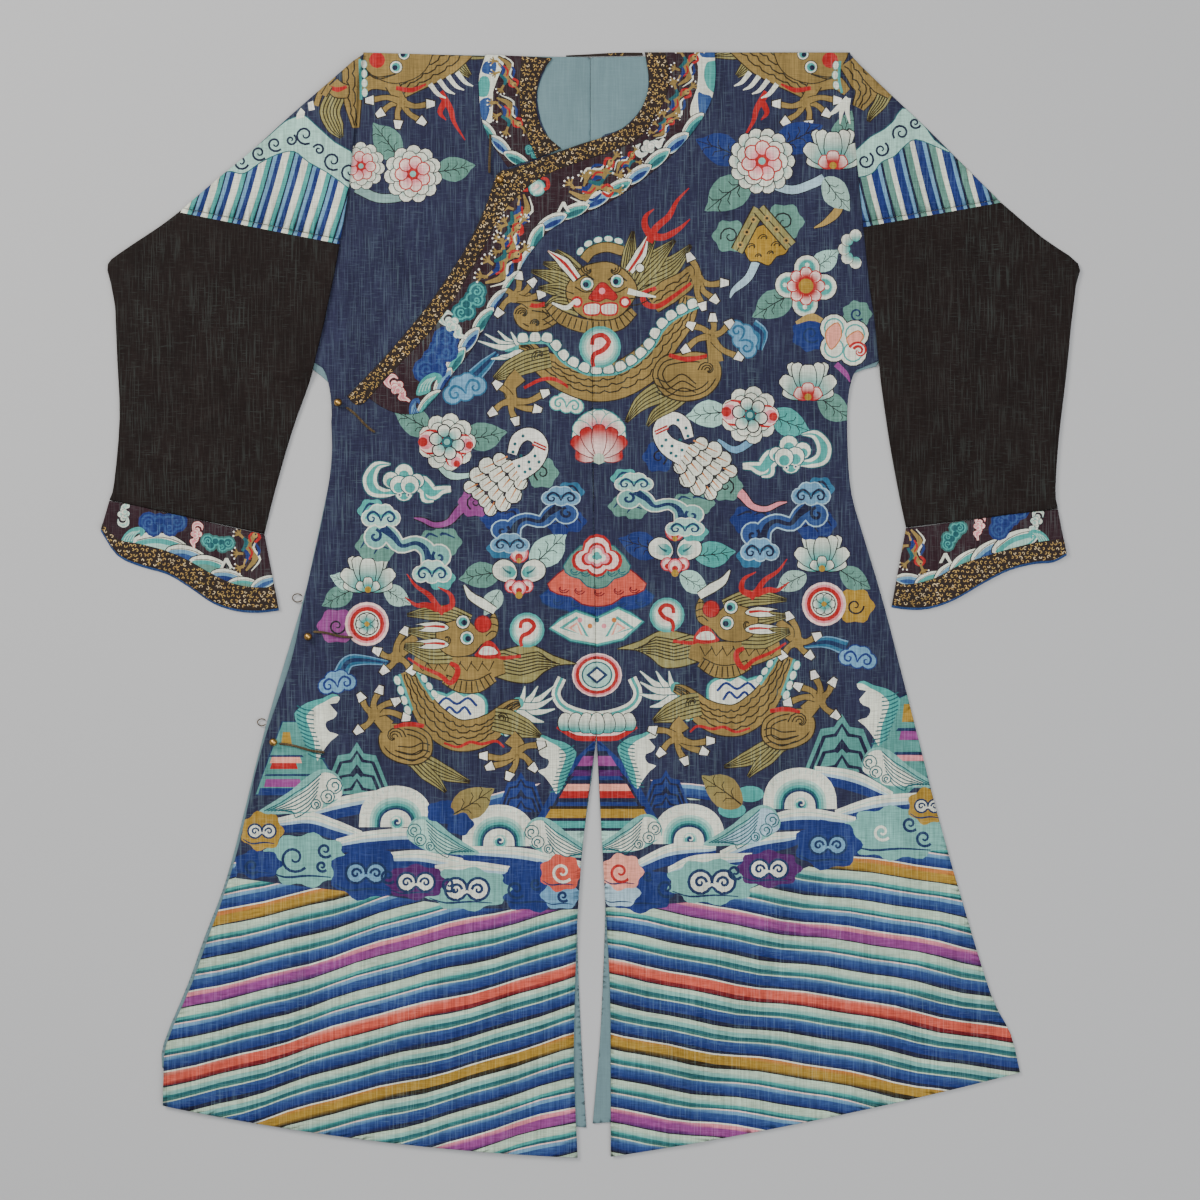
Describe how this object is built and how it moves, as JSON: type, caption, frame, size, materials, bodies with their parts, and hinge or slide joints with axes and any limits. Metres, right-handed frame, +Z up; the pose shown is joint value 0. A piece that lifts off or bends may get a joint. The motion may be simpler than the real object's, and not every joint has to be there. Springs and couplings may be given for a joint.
{
  "type": "dragon robe laid flat",
  "caption": "Long front-overlapping robe of silk tapestry laid flat, with folded-down sleeves, waved cuffs, round collar bands and a centre vent.",
  "frame": {"origin": "under the middle of the robe's outline, on the surface it lies on", "axes": "+Y from the hem towards the shoulders, +Z up out of the front, +X towards the wearer's left"},
  "size_m": [1.2418, 1.404, 0.0173],
  "materials": {
    "tapestry": "matte silk tapestry weave",
    "plain_silk": "dull dark silk with rows of sewing",
    "collar_silk": "matte silk tapestry weave",
    "brocade": "silk brocade with metal thread",
    "gilt": "worn gilding",
    "cord": "bound silk cord"
  },
  "bodies": {
    "root": {"back_left": "tapestry", "back_right": "tapestry", "front_left": "tapestry", "front_overlap": "tapestry", "front_under": "tapestry", "sleeve_upper_left": "tapestry", "sleeve_upper_right": "tapestry", "sleeve_lower_left": "plain_silk", "sleeve_lower_right": "plain_silk", "cuff_left": "collar_silk", "cuff_right": "collar_silk", "collar_band_long": "collar_silk", "collar_band_short": "collar_silk", "cuff_binding_left": "brocade", "cuff_binding_right": "brocade", "neck_binding_back": "brocade", "neck_binding_long": "brocade", "neck_binding_short": "brocade", "button_collar": "gilt", "button_neck": "gilt", "button_side_lower": "gilt", "button_side_upper": "gilt", "loop_lower": "cord", "loop_upper": "cord", "strap_collar": "cord", "strap_neck": "cord", "strap_side_lower": "cord", "strap_side_upper": "cord"}
  },
  "joints": []
}
